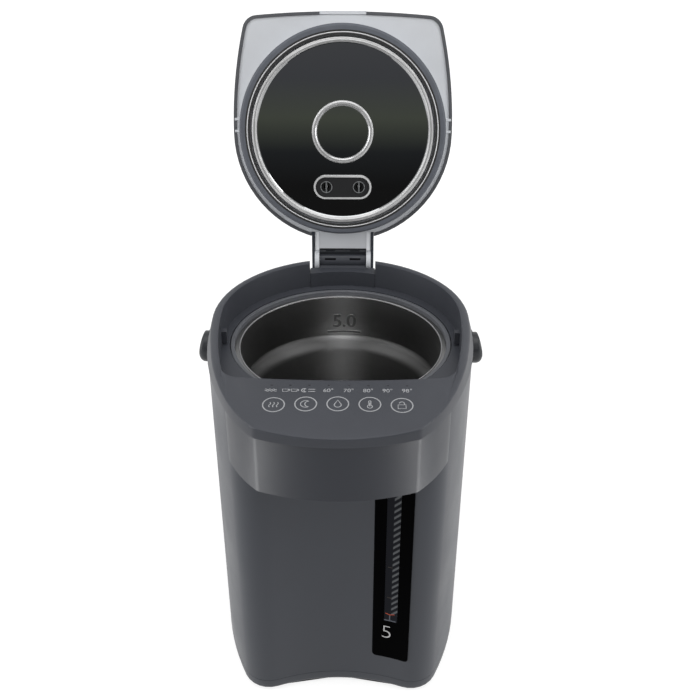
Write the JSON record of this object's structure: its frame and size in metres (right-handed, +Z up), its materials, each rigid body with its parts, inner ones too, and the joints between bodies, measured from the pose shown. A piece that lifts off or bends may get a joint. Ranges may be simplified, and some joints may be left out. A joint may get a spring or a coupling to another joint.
{
  "type": "electric_thermo_pot",
  "caption": "Electric thermo pot in dark grey plastic: steel inner pot under a hinged lid shown open, touch deck over a beak with a hidden spout, level tube window, folding bail handle",
  "frame": {"origin": "on the counter, in the plane of the feet, under the axis of the inner pot", "axes": "+Z up, -Y to the front (beak and touch deck), +X to the viewer's right when facing the front; the lid is drawn open"},
  "size_m": [0.253, 0.3506, 0.5607],
  "materials": {
    "body_dark": "satin, fine texture",
    "beak_dark": "satin",
    "deck_grey": "satin",
    "lid_light": "satin",
    "black_plastic": "matte",
    "panel_black": "gloss",
    "silicone_grey": "satin",
    "rubber_black": "matte",
    "steel": "fine brushed",
    "steel_bright": "polished",
    "zinc_steel": "galvanised",
    "heater_alloy": "cast",
    "mica_band": "satin",
    "natural_plastic": "satin",
    "hose_silicone": "translucent satin",
    "clear_glass": "clear",
    "smoke_clear": "clear",
    "board_green": "satin",
    "foam": "matte"
  },
  "bodies": {
    "pot_body": {"base_cover": "black_plastic", "base_feet": "rubber_black", "base_screws": "zinc_steel", "body_shell": "body_dark", "beak_housing": "beak_dark", "control_deck": "deck_grey", "pot_collar": "silicone_grey", "inner_pot": "steel", "pot_outlet": "steel", "heater_plate": "heater_alloy", "warm_band": "mica_band", "thermostats": "black_plastic", "temp_sensor": "steel", "thermal_fuse": "natural_plastic", "heat_shield": "zinc_steel", "pot_support": "zinc_steel", "pump_housing": "natural_plastic", "pump_cover": "natural_plastic", "pump_shaft": "steel", "pump_motor": "zinc_steel", "pump_bracket": "black_plastic", "suction_hose": "hose_silicone", "delivery_hose": "hose_silicone", "tube_cap": "hose_silicone", "level_tube": "clear_glass", "spill_valve": "natural_plastic", "spout_duct": "natural_plastic", "spout_nozzle": "black_plastic", "gauge_panel": "panel_black", "gauge_lens": "smoke_clear", "touch_board": "board_green", "touch_pads": "black_plastic", "power_board": "board_green", "mains_inlet": "black_plastic", "handle_seats": "black_plastic", "handle_pins": "zinc_steel", "hinge_bracket": "body_dark", "hinge_pin": "steel", "hinge_springs": "steel", "hinge_screws": "zinc_steel"},
    "lid": {"lid_cover": "body_dark", "hinge_cover": "body_dark", "hinge_catch": "black_plastic", "lid_liner": "lid_light", "lid_insulation": "foam", "lid_gasket": "silicone_grey", "lid_plate": "steel_bright", "steam_valve": "black_plastic", "steam_duct": "black_plastic"},
    "latch": {"lid_latch": "lid_light"},
    "steam_balls_body": {"steam_balls": "steel"},
    "bail": {"handle": "body_dark"},
    "impeller": {"pump_impeller": "black_plastic"},
    "magnet": {"drive_magnet": "black_plastic"},
    "valve_ball": {"spill_ball": "steel"}
  },
  "joints": [
    {"name": "lid_hinge", "type": "hinge", "parent": "pot_body", "child": "lid", "pos_m": [0, 0.1267, 0.331], "axis": [1, 0, 0], "range_deg": [0, 100.2]},
    {"name": "latch_slide", "type": "slide", "parent": "lid", "child": "latch", "axis": [0, 0.1771, 0.9842], "range_m": [0, 0.003]},
    {"name": "steam_balls_slide", "type": "slide", "parent": "lid", "child": "steam_balls_body", "axis": [0, 0.9842, -0.1771], "range_m": [0, 0.001]},
    {"name": "handle_swing", "type": "hinge", "parent": "pot_body", "child": "bail", "pos_m": [0, 0.005, 0.302], "axis": [1, 0, 0], "range_deg": [0, 46]},
    {"name": "magnet_spin", "type": "hinge", "parent": "pot_body", "child": "magnet", "pos_m": [0.046, -0.062, 0.0215], "axis": [1, 0, 0], "continuous": true},
    {"name": "impeller_spin", "type": "hinge", "parent": "pot_body", "child": "impeller", "pos_m": [0.046, -0.062, 0.0215], "axis": [1, 0, 0], "continuous": true},
    {"name": "spill_ball_slide", "type": "slide", "parent": "pot_body", "child": "valve_ball", "axis": [0, 0, 1], "range_m": [0, 0.003]}
  ],
  "couplings": [
    {"joint": "impeller_spin", "follows": "magnet_spin", "ratio": 1}
  ]
}
